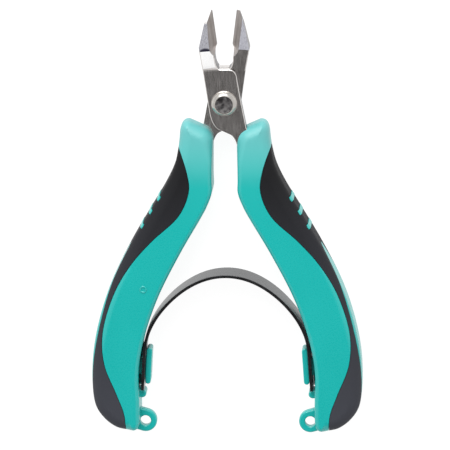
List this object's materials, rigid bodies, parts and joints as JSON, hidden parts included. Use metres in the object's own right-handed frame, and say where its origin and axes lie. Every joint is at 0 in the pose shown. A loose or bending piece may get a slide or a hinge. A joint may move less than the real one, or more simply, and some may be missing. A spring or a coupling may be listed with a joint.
{
  "type": "side-cutting pliers",
  "caption": "Small lap-jointed flush cutters with bevelled jaws, curved two-colour grips, a leaf return spring and lanyard eyes.",
  "frame": {"origin": "centre of the footprint on the surface that the tool lies on, with the pivot axis at X 0 and Y 33.25 mm", "axes": "+X towards the right handle seen from the front, +Y from the handle ends to the jaw tips, +Z out of the front face"},
  "size_m": [0.0722, 0.1146, 0.0115],
  "materials": {
    "jaw_steel": "fine ground, satin to polished",
    "rivet_plating": "polished rim, satin disc",
    "spring_steel": "black oxide, semi-gloss",
    "grip_plastic": "moulded, satin gloss",
    "grip_rubber": "soft-touch, matt"
  },
  "bodies": {
    "rear_half": {"rear_jaw_lever": "jaw_steel", "pivot_rivet_barrel": "rivet_plating", "pivot_rivet_pin": "rivet_plating", "leaf_spring": "spring_steel", "left_grip_core": "grip_plastic", "left_grip_pad": "grip_rubber"},
    "front_half": {"front_jaw_lever": "jaw_steel", "right_grip_core": "grip_plastic", "right_grip_pad": "grip_rubber"}
  },
  "joints": [
    {"name": "pivot_hinge", "type": "hinge", "parent": "rear_half", "child": "front_half", "pos_m": [0, 0.03325, 0.00575], "axis": [0, 0, 1], "range_deg": [-15, 3], "stiffness_Nm_per_rad": 1.5, "deforming": ["leaf_spring"]}
  ]
}
